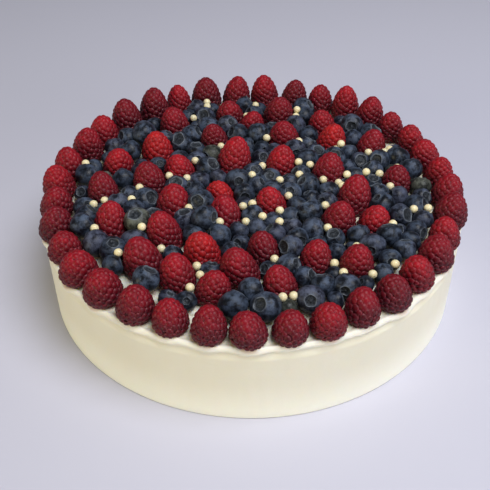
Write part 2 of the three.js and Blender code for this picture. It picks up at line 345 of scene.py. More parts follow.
# Pearls are dropped at random places and roll into the gaps between the berries.
def layPearls(draws, solid):
    mostTries = 600
    dropHeight = 30
    steps = 120
    fall = 0.4  # a step
    stepsBetweenLooks = 30
    lookRound = 6
    crowdReach = 9
    loneliness = 0.6  # share of the pearls with a neighbour that are taken away
    keptFree = 0.6  # of the width of a berry in the ring
    r = laying["pearlWidth"] / 2
    outermost = laying["rimRadius"] - laying["rimWidth"] * keptFree
    laid = []
    for _ in range(mostTries):
        if len(laid) == laying["pearlCount"]:
            break
        distance = outermost * math.sqrt(draws.between(0, 1))
        ball = onCircle(distance, draws.between(0, 2 * math.pi)) + [dropHeight, r]
        walls = []
        for step in range(steps):
            if step % stepsBetweenLooks == 0:
                walls = [other for other in solid + laid if isNear(ball, other, lookRound)]
            ball[2] -= fall
            for wall in walls:
                pushApart(ball, wall, 1)
            ball[2] = max(ball[2], r)
        crowd = sum(flatDistance(ball, other) < crowdReach for other in laid)
        unwanted = crowd > 1 or (crowd == 1 and draws.between(0, 1) < loneliness)
        if unwanted or ball[2] < laying["pearlLowest"] or ball[2] > laying["pearlHighest"]:
            continue
        laid.append([tidied(value) for value in ball[:3]] + [r])
    return laid


def layCover():
    draws = Draws(laying["seed"])
    rimBerries = layRim(draws)
    innerBerries = layInner(draws, rimBerries)
    ring = ballsOf(rimBerries, laying["rimClearance"])
    inner = ballsOf(innerBerries, 0)
    floorDiscs = [[*berry["place"], 0, berry["width"] / 2] for berry in rimBerries + innerBerries]
    blueberries = layBlueberries(draws, ring + inner, floorDiscs)
    pearls = layPearls(draws, ring + inner + [berry["ball"] for berry in blueberries])
    return rimBerries, innerBerries, blueberries, pearls


rimBerries, innerBerries, blueberries, pearls = layCover()
print("laid", len(rimBerries), len(innerBerries), len(blueberries), len(pearls))


# Materials

def linear(hexColour):
    channels = [int(hexColour[i : i + 2], 16) / 255 for i in (1, 3, 5)]
    curve = [c / 12.92 if c <= 0.04045 else ((c + 0.055) / 1.055) ** 2.4 for c in channels]
    return (*curve, 1)


# Adds a node. Its inputs, by name or number, are numbers, hex colours or other nodes' outputs, and
# the stops of a ramp are hex colours or greys.
def addNode(tree, kind, inputs=None, stops=None, **settings):
    made = tree.nodes.new(kind)
    for name, value in settings.items():
        setattr(made, name, value)
    for name, value in (inputs or {}).items():
        if isinstance(value, bpy.types.NodeSocket):
            tree.links.new(value, made.inputs[name])
        else:
            made.inputs[name].default_value = linear(value) if isinstance(value, str) else value
    if stops:
        elements = made.color_ramp.elements
        while len(elements) < len(stops):
            elements.new(0.5)
        for element, (place, colour) in zip(elements, stops):
            element.position = place
            element.color = linear(colour) if isinstance(colour, str) else (colour, colour, colour, 1)
    return made


def newMaterial(name):
    material = bpy.data.materials.new(name)
    material.use_nodes = True
    tree = material.node_tree
    tree.nodes.clear()
    return material, tree, addNode(tree, "ShaderNodeTexCoord").outputs["Object"]


# What a piece's colour attribute holds: its red, green, blue and alpha
def readMarks(tree, name):
    attribute = addNode(tree, "ShaderNodeAttribute", attribute_name=name)
    parts = addNode(tree, "ShaderNodeSeparateColor", {"Color": attribute.outputs["Color"]})
    return (*parts.outputs, attribute.outputs["Alpha"])


# Lays colours over the first one, each by its share.
def layOver(tree, colour, layers):
    for share, upper in layers:
        inputs = {0: share, 6: colour, 7: upper}
        colour = addNode(tree, "ShaderNodeMix", inputs, data_type="RGBA").outputs[2]
    return colour


def finishMaterial(tree, inputs):
    shader = addNode(tree, "ShaderNodeBsdfPrincipled", inputs)
    addNode(tree, "ShaderNodeOutputMaterial", {"Surface": shader.outputs[0]})


# Whipped cream, spread smooth with a palette knife: an ivory that light sinks into, with the faint
# drag marks of the knife. Its colour is painted paler towards the foot, as painted bounce light,
# and whiter on the lip's top, as painted light from above. The creamMarks attribute holds the stain
# of the berries' juice and the share of the lip's painted light.
def makeCream():
    material, tree, place = newMaterial("whippedCreamSpread")
    juice, paintedLipLight, _, _ = readMarks(tree, "creamMarks")
    cloudSize = 45
    cloud = addNode(
        tree, "ShaderNodeTexNoise", {"Vector": place, "Scale": 1 / (cloudSize * mm), "Detail": 2}
    )
    upward = addNode(tree, "ShaderNodeSeparateXYZ", {"Vector": place})
    # Painted bounce light: the side is painted paler towards the foot.
    paintedLightBelow = 34
    paintedFootLight = addNode(
        tree,
        "ShaderNodeMapRange",
        {"Value": upward.outputs["Z"], "From Min": paintedLightBelow * mm, "From Max": 0},
        interpolation_type="SMOOTHSTEP",
    )
    layers = [
        (cloud.outputs["Fac"], "#EEE9D6"),
        (paintedFootLight.outputs[0], "#FDF9E5"),
        # painted light: the lip's top is whiter, as lit from above
        (paintedLipLight, "#EEE8D8"),
        (juice, "#D9A896"),
    ]
    grainSize = 1.6
    grain = addNode(
        tree,
        "ShaderNodeTexNoise",
        {"Vector": place, "Scale": 1 / (grainSize * mm), "Detail": 3, "Roughness": 0.55},
    )
    dragLength = 30
    dragFlatness = 9  # length over height
    knife = addNode(tree, "ShaderNodeMapping", {"Vector": place, "Scale": (1, 1, dragFlatness)})
    drag = addNode(
        tree,
        "ShaderNodeTexNoise",
        {"Vector": knife.outputs[0], "Scale": 1 / (dragLength * mm), "Detail": 4, "Roughness": 0.6},
    )
    relief = addNode(
        tree,
        "ShaderNodeMath",
        {0: grain.outputs["Fac"], 1: 0.25, 2: drag.outputs["Fac"]},
        operation="MULTIPLY_ADD",
    )
    bump = addNode(
        tree,
        "ShaderNodeBump",
        {"Height": relief.outputs[0], "Strength": 0.35, "Distance": 0.5 * mm},
    )
    finishMaterial(
        tree,
        {
            "Base Color": layOver(tree, "#E8E1C5", layers),
            "Roughness": 0.46,
            "IOR": 1.45,
            "Specular IOR Level": 0.42,
            "Subsurface Weight": 0.3,
            "Subsurface Radius": (1.0, 0.75, 0.42),
            "Subsurface Scale": 4 * mm,
            "Normal": bump.outputs[0],
        },
    )
    return material


# Raspberry drupelets: thin taut skin over red juice, so a moist gloss on each, with lighter rims
# that are partly a fine pale down and partly a painted sheen of light. The skin is painted darker
# towards the berry's foot and brighter towards its tip, as painted shade and light from above. The
# berry attribute holds how far a point is from the drupelet's top, how high on the berry it is, how
# bright the berry is, from the dark red of a ripe one to scarlet, and the drupelet's own tone.
def makeRaspberrySkin():
    material, tree, place = newMaterial("raspberryDrupeletSkin")
    fromTop, height, brightness, tone = readMarks(tree, "berry")
    # Painted shade and light: the low ramp is the darker red of the berry's foot and the high one the
    # brighter red of its tip, as shade below and light from above.
    low = addNode(
        tree,
        "ShaderNodeValToRGB",
        {"Fac": brightness},
        stops=[(0, "#390410"), (0.45, "#4F0613"), (0.8, "#650814"), (1, "#800C13")],
    )
    high = addNode(
        tree,
        "ShaderNodeValToRGB",
        {"Fac": brightness},
        stops=[(0, "#660716"), (0.45, "#850919"), (0.8, "#9A101C"), (1, "#A21518")],
    )
    paintedLightTowardsTip = addNode(
        tree,
        "ShaderNodeMapRange",
        {"Value": height, "From Min": 0.3, "From Max": 1.0},
        interpolation_type="SMOOTHSTEP",
    )
    body = layOver(tree, low.outputs[0], [(paintedLightTowardsTip.outputs[0], high.outputs[0])])
    ownTone = addNode(tree, "ShaderNodeMapRange", {"Value": tone, "To Min": 0.78, "To Max": 1.2})
    toned = addNode(tree, "ShaderNodeHueSaturation", {"Color": body, "Value": ownTone.outputs[0]})
    # Lighter rims on the drupelets: partly a fine pale down, partly a painted sheen of light.
    downAndSheenPlace = addNode(
        tree,
        "ShaderNodeValToRGB",
        {"Fac": fromTop},
        stops=[(0.22, 0), (0.4, 0.38), (0.5, 0.22), (0.68, 0)],
    )
    downSize = 0.5
    downNoise = addNode(
        tree, "ShaderNodeTexNoise", {"Vector": place, "Scale": 1 / (downSize * mm), "Detail": 2}
    )
    downAndPaintedSheen = addNode(
        tree,
        "ShaderNodeMath",
        {0: downAndSheenPlace.outputs[0], 1: downNoise.outputs["Fac"]},
        operation="MULTIPLY",
    )
    grainSize = 0.9
    grain = addNode(
        tree, "ShaderNodeTexNoise", {"Vector": place, "Scale": 1 / (grainSize * mm), "Detail": 2}
    )
    bump = addNode(
        tree,
        "ShaderNodeBump",
        {"Height": grain.outputs["Fac"], "Strength": 0.18, "Distance": 0.1 * mm},
    )
    finishMaterial(
        tree,
        {
            "Base Color": layOver(tree, toned.outputs[0], [(downAndPaintedSheen.outputs[0], "#BC545F")]),
            "Roughness": 0.43,
            "IOR": 1.38,
            "Specular IOR Level": 0.36,
            "Subsurface Weight": 0.18,
            "Subsurface Radius": (1.0, 0.12, 0.1),
            "Subsurface Scale": 1.6 * mm,
            "Sheen Weight": 0.05,
            "Sheen Roughness": 0.4,
            "Sheen Tint": "#F0C8C8",
            "Normal": bump.outputs[0],
        },
    )
    return material


# Blueberry skin: blue-black under a pale waxy bloom that handling has rubbed off in patches, with a
# greyer, rough calyx ring. Low in the heap the bloom is faded out as painted shade between the
# berries. The berry attribute holds the calyx, its rim and the berry's tone.
def makeBlueberrySkin():
    material, tree, place = newMaterial("blueberryWaxySkin")
    calyx, calyxRim, tone, _ = readMarks(tree, "berry")
    skin = addNode(
        tree,
        "ShaderNodeValToRGB",
        {"Fac": tone},
        stops=[(0, "#06080E"), (0.55, "#0A0E16"), (0.9, "#100F19"), (1, "#20221F")],
    )
    bloom = addNode(
        tree,
        "ShaderNodeValToRGB",
        {"Fac": tone},
        stops=[(0, "#3C4758"), (0.5, "#4C586B"), (0.9, "#4E5264"), (1, "#62655B")],
    )
    patchSize = 5
    patches = addNode(
        tree,
        "ShaderNodeTexNoise",
        {"Vector": place, "Scale": 1 / (patchSize * mm), "Detail": 5, "Roughness": 0.62},
    )
    speckSize = 0.9
    specks = addNode(
        tree,
        "ShaderNodeTexNoise",
        {"Vector": place, "Scale": 1 / (speckSize * mm), "Detail": 3, "Roughness": 0.7},
    )
    both = addNode(
        tree,
        "ShaderNodeMath",
        {0: specks.outputs["Fac"], 1: 0.35, 2: patches.outputs["Fac"]},
        operation="MULTIPLY_ADD",
    )
    cover = addNode(
        tree,
        "ShaderNodeMapRange",
        {"Value": both.outputs[0], "From Min": 0.54, "From Max": 0.86},
        interpolation_type="SMOOTHSTEP",
    )
    # Painted shade: the bloom fades out low in the heap, where the berries shade each other.
    upward = addNode(tree, "ShaderNodeSeparateXYZ", {"Vector": place})
    shadedBelow = (cakeTop + 2) * mm
    unshadedAbove = (cakeTop + 14) * mm
    paintedShadeFade = addNode(
        tree,
        "ShaderNodeMapRange",
        {"Value": upward.outputs["Z"], "From Min": shadedBelow, "From Max": unshadedAbove, "To Min": 0.05},
        interpolation_type="SMOOTHSTEP",
    )
    shadedCover = addNode(
        tree,
        "ShaderNodeMath",
        {0: cover.outputs[0], 1: paintedShadeFade.outputs[0]},
        operation="MULTIPLY",
    )
    driedCup = addNode(
        tree,
        "ShaderNodeValToRGB",
        {"Fac": specks.outputs["Fac"]},
        stops=[(0.4, "#0D1015"), (0.64, "#373C41")],
    )
    patchy = {"From Min": 0.36, "From Max": 0.6, "To Min": 0.25, "To Max": 1.1}
    brokenRim = addNode(tree, "ShaderNodeMapRange", {"Value": patches.outputs["Fac"], **patchy})
    rimShare = addNode(
        tree,
        "ShaderNodeMath",
        {0: calyxRim, 1: brokenRim.outputs[0]},
        operation="MULTIPLY",
        use_clamp=True,
    )
    layers = [
        (shadedCover.outputs[0], bloom.outputs[0]),
        (calyx, driedCup.outputs[0]),
        (rimShare.outputs[0], "#62686F"),
    ]
    roughness = addNode(
        tree, "ShaderNodeMapRange", {"Value": cover.outputs[0], "To Min": 0.36, "To Max": 0.62}
    )
    bump = addNode(
        tree,
        "ShaderNodeBump",
        {"Height": both.outputs[0], "Strength": 0.3, "Distance": 0.2 * mm},
    )
    finishMaterial(
        tree,
        {
            "Base Color": layOver(tree, skin.outputs[0], layers),
            "Roughness": roughness.outputs[0],
            "IOR": 1.42,
            "Specular IOR Level": 0.34,
            "Sheen Weight": 0.05,
            "Sheen Roughness": 0.5,
            "Sheen Tint": "#AEBBD0",
            "Normal": bump.outputs[0],
        },
    )
    return material


# Sugar pearls, tumbled in a pan with a lustre glaze: ivory, satin, with a soft highlight.
def makePearlGlaze():
    material, tree, place = newMaterial("sugarPearlGlaze")
    cloudSize = 3
    cloud = addNode(
        tree, "ShaderNodeTexNoise", {"Vector": place, "Scale": 1 / (cloudSize * mm), "Detail": 2}
    )
    grainSize = 0.5
    grain = addNode(
        tree, "ShaderNodeTexNoise", {"Vector": place, "Scale": 1 / (grainSize * mm), "Detail": 2}
    )
    bump = addNode(
        tree,
        "ShaderNodeBump",
        {"Height": grain.outputs["Fac"], "Strength": 0.15, "Distance": 0.05 * mm},
    )
    finishMaterial(
        tree,
        {
            "Base Color": layOver(tree, "#E9D9A2", [(cloud.outputs["Fac"], "#F4E9C4")]),
            "Roughness": 0.34,
            "IOR": 1.5,
            "Subsurface Weight": 0.2,
            "Subsurface Radius": (1.0, 0.8, 0.5),
            "Subsurface Scale": 1 * mm,
            "Normal": bump.outputs[0],
        },
    )
    return material


cream = makeCream()
raspberrySkin = makeRaspberrySkin()
blueberrySkin = makeBlueberrySkin()
pearlGlaze = makePearlGlaze()
print("materials made")


# Pieces

def newMesh(name, work):
    mesh = bpy.data.meshes.new(name)
    work.to_mesh(mesh)
    work.free()
    return mesh


def newObject(name, data):
    made = bpy.data.objects.new(name, data)
    bpy.context.scene.collection.objects.link(made)
    return made


def showPiece(name, work, material, replaced, marks=None):
    mesh = newMesh(name, work)
    mesh.materials.append(material)
    mesh.shade_smooth()
    if marks:
        layerName, colours = marks
        layer = mesh.attributes.new(layerName, "FLOAT_COLOR", "POINT")
        layer.data.foreach_set("color", np.asarray(colours, np.float32).ravel())
    piece = newObject(name, mesh)
    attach(piece, "root")
    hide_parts(*replaced)


# Puts a mesh in its place, adds it to a mesh under construction and throws it away.
def addMesh(work, mesh, place):
    mesh.transform(place)
    work.from_mesh(mesh)
    bpy.data.meshes.remove(mesh)


# Turns an outline, as radius and height of each point, into a closed shape round the Z axis.
def spunProfile(points, steps, unit=mm):
    work = bmesh.new()
    row = [work.verts.new((radius * unit, 0, height * unit)) for radius, height in points]
    edges = [work.edges.new(pair) for pair in zip(row, row[1:])]
    bmesh.ops.spin(
        work,
        geom=row + edges,
        cent=(0, 0, 0),
        axis=(0, 0, 1),
        angle=2 * math.pi,
        steps=steps,
        use_merge=True,
    )
    bmesh.ops.remove_doubles(work, verts=work.verts[:], dist=0.001 * unit)
    bmesh.ops.recalc_face_normals(work, faces=work.faces[:])
    return work


cakeShape = {
    "radius": 135.5,
    "steps": 720,  # round the cake
    "footEdge": ((1.3, 0), (0.35, 0.15), (0, 0.7)),  # in from the side, and height
    "sideRows": 22,
    "neckRows": 12,
    "edgeRows": 8,
    "topStep": 0.9,  # between the rows of the top
    "topEnd": 108,  # further in, the bed of cream under the heap hides the cake's own top
    "topRise": 0.1,  # the cream meets the berries' feet
    "lipDepth": 8,  # below the top, where the side begins to draw in under the lip
    "neckPullIn": 0.8,
    "lipStandOut": 0.5,
    "lipRound": 1.9,  # radius of the edge
    "lipFade": 5,  # over which the lip's swing dies away
    "lipWave": 1.0,
    "pushWidth": 7.5,  # along the lip, of the bulge that a berry pushes out
    "pushHeight": 1.4,
    "pushByReach": 0.7,  # more for each millimetre that a berry reaches further out
    "reachShare": 0.4,  # of a berry's width, out from its middle
    "pullBetween": 1.1,  # the lip lies this far in where no berry pushes it
    "dipByPush": 0.25,  # it sinks where it is pushed out
    "lipLightDepth": 3,  # the lip's top is painted whiter from here up, as painted light from above
    "lipLightWidth": 3.6,  # and from here out
    "footShare": 0.38,  # of a berry's width, the radius of its foot
    "moundLoss": 0.7,  # on the lip
    # Humps: how high, how far out from the edge or from a berry's foot, and how wide
    "ridge": (0.8, 0.3, 1.9),
    "mound": (0.9, 0.8, 1.6),
    "stain": (0.5, -0.3, 1.2),  # of juice
    # Unevenness that the knife left: how high its waves are, and how many there are to a millimetre
    "sideWaves": ((0.5, 0.03), (0.12, 0.2)),
    "sideStretch": 0.35,  # they are longer upwards
    "footCalm": 8,  # they die away below this
    "lipWaves": ((0.5, 0.11), (0.3, 0.3)),
    "pushWaves": ((1.2, 0.07),),
    "ridgeWaves": ((0.5, 0.09),),
    "topWaves": ((0.3, 0.12),),
}
flareStart = cakeTop - cakeShape["lipDepth"]
edgeHeight = cakeTop + cakeShape["topRise"] - cakeShape["lipRound"]
edgeRadius = cakeShape["radius"] + cakeShape["lipStandOut"] - cakeShape["lipRound"]


def smoothStep(value):
    value = min(1, max(0, value))
    return value * value * (3 - 2 * value)


def hump(distance, height, middle, width):
    return height * math.exp(-(((distance - middle) / width) ** 2))


def unevenness(where, waves):
    return sum(height * noise.noise(where * perMillimetre) for height, perMillimetre in waves)


# How far a place is from the nearest berry's foot. Each foot is x, y and radius.
def clearOfFeet(feet, x, y):
    return float((np.hypot(feet[:, 0] - x, feet[:, 1] - y) - feet[:, 2]).min())


rimAngles = np.array([berry["angle"] for berry in rimBerries])
rimPlaces = [Vector((*berry["place"], 0)) for berry in rimBerries]
rimWidths = np.array([berry["width"] for berry in rimBerries])
rimReaches = np.array([berry["radius"] for berry in rimBerries])
rimReaches += rimWidths * cakeShape["reachShare"]
rimPushes = 1 + cakeShape["pushByReach"] * (rimReaches - rimReaches.mean())
rimPushes += [unevenness(place, cakeShape["pushWaves"]) for place in rimPlaces]


# How far the lip swings out at an angle. Each berry of the ring pushes it out: the further the
# berry reaches, the more.
def lipSwing(angle):
    shape = cakeShape
    away = (angle - rimAngles + math.pi) % (2 * math.pi) - math.pi
    shares = np.exp(-((away * shape["radius"] / shape["pushWidth"]) ** 2))
    pushed = shape["pushHeight"] * float((shares * rimPushes).sum())
    return shape["lipWave"] * (pushed - shape["pullBetween"])


# The cake's outline, from the middle of its foot over the lip to the middle of its top
def cakeOutline():
    shape = cakeShape
    radius = shape["radius"]
    foot = [(0, 0), (radius * 0.6, 0)] + [(radius - inward, z) for inward, z in shape["footEdge"]]
    side = [(radius, z) for z in np.linspace(1.6, flareStart - 1, shape["sideRows"])]
    for z in np.linspace(flareStart, edgeHeight - 0.3, shape["neckRows"]):
        rise = (z - flareStart) / (edgeHeight - flareStart)
        drawnIn = shape["neckPullIn"] * math.sin(math.pi * rise**1.4)
        side.append((radius - drawnIn + shape["lipStandOut"] * rise**3, z))
    edge = []
    for turn in np.linspace(0, math.pi / 2, shape["edgeRows"]):
        x = edgeRadius + shape["lipRound"] * math.cos(turn)
        edge.append((x, edgeHeight + shape["lipRound"] * math.sin(turn)))
    topLevel = cakeTop + shape["topRise"]
    radii = np.arange(edgeRadius - 0.8, shape["topEnd"], -shape["topStep"])
    top = [(r, topLevel) for r in radii] + [(r, topLevel - 0.3) for r in (90, 0)]
    return foot + side + edge + top


def makeCake():
    shape = cakeShape
    radius = shape["radius"]
    fade = shape["lipFade"]
    aside = Vector((100, 0, 0))  # so that the ridge's waves aren't those of the lip
    footRadii = rimWidths * shape["footShare"]
    feet = np.array([(*berry["place"], foot) for berry, foot in zip(rimBerries, footRadii)])
    work = spunProfile(cakeOutline(), shape["steps"])
    stainsAndLipLight = []
    for vertex in work.verts:
        x, y, z = (value / mm for value in vertex.co)
        distance = math.hypot(x, y)
        if distance < 1:
            stainsAndLipLight.append((0, 0, 0, 1))
            continue
        where = Vector((x, y, z))
        onLip = smoothStep((z - flareStart - 1) / fade)
        onLip *= smoothStep((distance - radius + fade + 1) / fade)
        swing = lipSwing(math.atan2(y, x)) + unevenness(where, shape["lipWaves"])
        outward = onLip * swing
        if 0.5 < z < edgeHeight:
            stretched = Vector((x, y, z * shape["sideStretch"]))
            outward += unevenness(stretched, shape["sideWaves"]) * min(1, z / shape["footCalm"])
        rise = onLip * (unevenness(where + aside, shape["ridgeWaves"]) - shape["dipByPush"] * swing)
        stain = 0
        if z > cakeTop - 1.2 and distance > 104:
            nearest = clearOfFeet(feet, x, y)
            rise += hump(distance - edgeRadius, *shape["ridge"])
            rise += hump(nearest, *shape["mound"]) * (1 - shape["moundLoss"] * onLip)
            rise += unevenness(where, shape["topWaves"])
            stain = hump(nearest, *shape["stain"])
        # Painted light: the lip's top is painted whiter, as lit from above.
        lipLightShare = smoothStep((z - cakeTop + shape["lipLightDepth"]) / 2)
        lipLightShare *= smoothStep((distance - radius + shape["lipLightWidth"]) / 2.6)
        stainsAndLipLight.append((stain, lipLightShare, 0, 1))
        scale = 1 + outward / distance
        vertex.co = (x * scale * mm, y * scale * mm, (z + rise) * mm)
    showPiece("cakeCream", work, cream, ["cake"], ("creamMarks", stainsAndLipLight))


makeCake()
print("cake made")


# The cream that the heap's berries are pressed into
bedShape = {
    "radius": 113.5,
    "cells": 110,
    "base": 0.3,  # above the cake's top
    "thickness": 1.1,
    "thinnest": 0.02,
    "edgeWidth": 3,  # over which it thins out
    "raspberryFoot": 0.39,  # of a berry's width, the radius of its foot
    "blueberryFoot": 0.25,
    "mound": (0.9, 0.5, 1.6),  # how high, how far out from a berry's foot, and how wide
    "stain": (0.5, -0.2, 1.2),
    "waves": ((0.3, 0.15),),
}


def makeBed():
    shape = bedShape
    radius = shape["radius"]
    bottom = cakeTop + shape["base"]
    feet = [(*berry["place"], berry["width"] * shape["raspberryFoot"]) for berry in innerBerries]
    for berry in blueberries:
        feet.append((*berry["ball"][:2], berry["halfWidth"] * 2 * shape["blueberryFoot"]))
    feet = np.array(feet)
    work = bmesh.new()
    bmesh.ops.create_grid(work, x_segments=shape["cells"], y_segments=shape["cells"], size=1)
    raised = bmesh.ops.extrude_face_region(work, geom=work.faces[:])["geom"]
    upper = {item for item in raised if isinstance(item, bmesh.types.BMVert)}
    stainsAndLipLight = []
    for vertex in work.verts:
        u, v = vertex.co.x, vertex.co.y  # the square grid becomes a disc
        x = radius * u * math.sqrt(1 - v * v / 2)
        y = radius * v * math.sqrt(1 - u * u / 2)
        edge = 1 - min(1, (radius - math.hypot(x, y)) / shape["edgeWidth"])
        height = 0
        stain = 0
        if vertex in upper:
            nearest = clearOfFeet(feet, x, y)
            height = shape["thickness"] * (1 - edge * edge) + shape["thinnest"]
            height += hump(nearest, *shape["mound"]) * (1 - edge)
            height += unevenness(Vector((x, y, 7)), shape["waves"]) * (1 - edge)
            stain = hump(nearest, *shape["stain"])
        vertex.co = (x * mm, y * mm, (bottom + height) * mm)
        stainsAndLipLight.append((stain, 0, 0, 1))
    bmesh.ops.recalc_face_normals(work, faces=work.faces[:])
    showPiece("creamBed", work, cream, ["berry_heap"], ("creamMarks", stainsAndLipLight))


makeBed()
print("bed made")


raspberryShape = {
    "fullness": 1.04,  # the drupelets' tops reach past the smooth outline
    "widestAt": 0.3,  # share of the height
    "footNarrowing": 0.24,
    "taper": 2.2,
    "bluntness": 0.55,
    "drupeletWidth": 4.1,  # from middle to middle
    "unevenness": 0.13,  # of the drupelets' sizes
    "tipGrowth": 0.26,  # those at the tip are larger than those at the foot by this
    "evenAt": 0.6,  # on the way to the foot they have their even size
    "packing": 0.87,  # of a square drupelet's share of the skin
    "startShift": 0.22,  # off the spiral, over their width
    "startTurn": 0.14,
    "footRoom": 0.8,  # between the lowest drupelets' tops and the foot
    "easing": 8,  # rounds of pressing against each other
    "push": 0.3,  # share of an overlap that a round takes away
    "overlap": 0.57,  # a drupelet's half width over its width from middle to middle
    "thickness": 1.8,
    "tipThickness": 0.25,  # those at the tip are thicker by this
    "sides": 9,
    "rows": 6,  # of a whole ball, which is cut in half
    "coreInset": 1.0,  # the red inside, which shows between the drupelets
    "coreThinnest": 0.6,
    "coreTipDrop": 0.2,
    "coreRows": 8,
    "coreSides": 12,
}
goldenAngle = math.pi * (3 - math.sqrt(5))


def bodyRadius(up):
    shape = raspberryShape
    foot = max(0, 1 - up / shape["widestAt"])
    rounding = max(0, 1 - up ** shape["taper"]) ** shape["bluntness"]
    return rounding * (1 - shape["footNarrowing"] * foot * foot)


# The berry's outline from its tip to its foot: length along it, radius and height.
def raspberryOutline(berry):
    ups = np.linspace(1, 0, 240) ** 0.5
    radii = np.array([bodyRadius(up) for up in ups])
    radii *= raspberryShape["fullness"] * berry["width"] / 2 / radii.max()
    heights = ups * berry["height"]
    lengths = np.concatenate([[0], np.cumsum(np.hypot(np.diff(radii), np.diff(heights)))])
    return lengths, radii, heights


# Drupelets start on a spiral, as they grow, and press against each other until each has its room.
def layDrupelets(berry, draws, width):
    shape = raspberryShape
    lengths, radii, heights = raspberryOutline(berry)
    steps = np.diff(lengths)
    areas = np.concatenate([[0], np.cumsum(math.pi * (radii[1:] + radii[:-1]) * steps)])
    count = round(areas[-1] / (width * width * shape["packing"]))
    sizes = np.array([draws.around(1, shape["unevenness"]) for _ in range(count)])
    sizes += shape["tipGrowth"] * (shape["evenAt"] - np.arange(count) / count)
    along = np.interp((np.arange(count) + 0.5) / count * areas[-1], areas, lengths)
    along += np.array([draws.around(0, width * shape["startShift"]) for _ in range(count)])
    turns = [draws.around(0, shape["startTurn"]) for _ in range(count)]
    angles = np.arange(count) * goldenAngle + np.array(turns)
    slopeOut = np.gradient(radii, lengths)
    slopeUp = np.gradient(heights, lengths)
    for _ in range(shape["easing"] + 1):
        along = np.clip(along, 0, lengths[-1] - shape["footRoom"])
        radius = np.interp(along, lengths, radii)
        height = np.interp(along, lengths, heights)
        dr = np.interp(along, lengths, slopeOut)
        dz = np.interp(along, lengths, slopeUp)
        cosine, sine = np.cos(angles), np.sin(angles)
        places = np.stack([radius * cosine, radius * sine, height], 1)
        apart = places[:, None] - places[None]
        distance = np.sqrt((apart**2).sum(2)) + 1e-6
        reach = width * (sizes[:, None] + sizes[None]) / 2
        shares = np.clip(reach - distance, 0, None) / distance * shape["push"]
        push = (apart * shares[:, :, None]).sum(1)
        downward = np.stack([dr * cosine, dr * sine, dz], 1)
        sideways = np.stack([-sine, cosine, 0 * sine], 1)
        along = along + (push * downward).sum(1)
        angles = angles + (push * sideways).sum(1) / np.maximum(radius, 1)
    outward = np.stack([-dz * cosine, -dz * sine, dr], 1)
    return places, outward, sizes


# The outer half of a ball, which is all that shows of a drupelet
def drupeletTemplate():
    shape = raspberryShape
    work = bmesh.new()
    bmesh.ops.create_uvsphere(work, u_segments=shape["sides"], v_segments=shape["rows"], radius=1)
    bmesh.ops.bisect_plane(
        work,
        geom=work.verts[:] + work.edges[:] + work.faces[:],
        dist=0.001,
        plane_co=(0, 0, 0),
        plane_no=(0, 0, 1),
        clear_inner=True,
    )
    bmesh.ops.holes_fill(work, edges=work.edges[:], sides=0)
    bmesh.ops.recalc_face_normals(work, faces=work.faces[:])
    return newMesh("drupeletTemplate", work)


drupelet = drupeletTemplate()
fromDrupeletTop = [1 - max(0, vertex.co.z) for vertex in drupelet.vertices]


# Adds one raspberry to a mesh under construction, and its marks to the list.
def addRaspberry(work, marks, berry, draws, brightness, lowest=0):
    shape = raspberryShape
    # A larger berry has more drupelets, and they are larger too.
    width = shape["drupeletWidth"] * (0.5 + 0.5 * berry["width"] / laying["rimWidth"])
    width *= draws.around(1, 0.05)
    foot = Vector((*berry["place"], cakeTop + laying["gap"])) * mm
    lean = Matrix.Identity(4)
    lean[0][2], lean[1][2] = berry["lean"]
    stand = Matrix.Translation(foot) @ lean @ Matrix.Rotation(berry["turn"], 4, "Z")
    lengths, radii, heights = raspberryOutline(berry)
    core = [(0, heights[0] - shape["coreInset"])]
    for length in np.linspace(2, lengths[-1] - 0.5, shape["coreRows"]):
        radius = np.interp(length, lengths, radii) - shape["coreInset"]
        height = np.interp(length, lengths, heights)
        highest = core[0][1] - shape["coreTipDrop"]
        core.append((max(float(radius), shape["coreThinnest"]), min(float(height), highest)))
    core.append((0, core[-1][1]))
    inside = newMesh("raspberryInside", spunProfile(core, shape["coreSides"]))
    # The inside is marked as lowest on the berry and darker in tone, so it takes the painted shade of
    # the foot all over: painted shade between the drupelets.
    marks += [(1, 0, brightness, 0.2)] * len(inside.vertices)
    addMesh(work, inside, stand)
    places, outward, sizes = layDrupelets(berry, draws, width)
    for place, out, size in zip(places, outward, sizes):
        tone = draws.between(0, 1)
        spin = draws.between(0, math.pi)
        # How high on the berry: the skin's painted shade below and painted light towards the tip
        # follow it.
        share = place[2] / berry["height"]
        if place[2] < lowest:
            continue
        half = width * shape["overlap"] * size
        thickness = shape["thickness"] * (1 + shape["tipThickness"] * share)
        middle = Vector(place) - Vector(out) * thickness
        where = (
            stand
            @ Matrix.Translation(middle * mm)
            @ Vector(out).to_track_quat("Z", "Y").to_matrix().to_4x4()
            @ Matrix.Rotation(spin, 4, "Z")
            @ Matrix.Diagonal((half * mm, half * mm, thickness * mm, 1))
        )
        addMesh(work, drupelet.copy(), where)
        marks += [(fromTop, share, brightness, tone) for fromTop in fromDrupeletTop]


def makeRimRaspberries():
    brightest = 0.7
    evenness = 0.7  # below 1, more of them are bright
    draws = Draws(laying["seed"] + 1)
    for i, berry in enumerate(rimBerries):
        work = bmesh.new()
        marks = []
        brightness = brightest * draws.between(0, 1) ** evenness
        addRaspberry(work, marks, berry, draws, brightness)
        number = f"{i + 1:02d}"
        showPiece(
            "raspberryRim" + number,
            work,
            raspberrySkin,
            ["raspberry_rim_" + number],
            ("berry", marks),
        )


makeRimRaspberries()
print("ring of raspberries made")

# Berries inside the ring, counted in the order of innerCircles
innerLook = {
    "scarletBerries": (0, 14, 16, 18),  # the least ripe
    "redBerries": (1, 2, 3, 5, 19, 22),
    "scarlet": 1.0,
    "red": 0.8,
    "othersDarkest": 0.1,
    "othersBrightest": 0.6,
    "hiddenBelow": 1.5,  # drupelets lower than this lie in the cream and aren't made
}


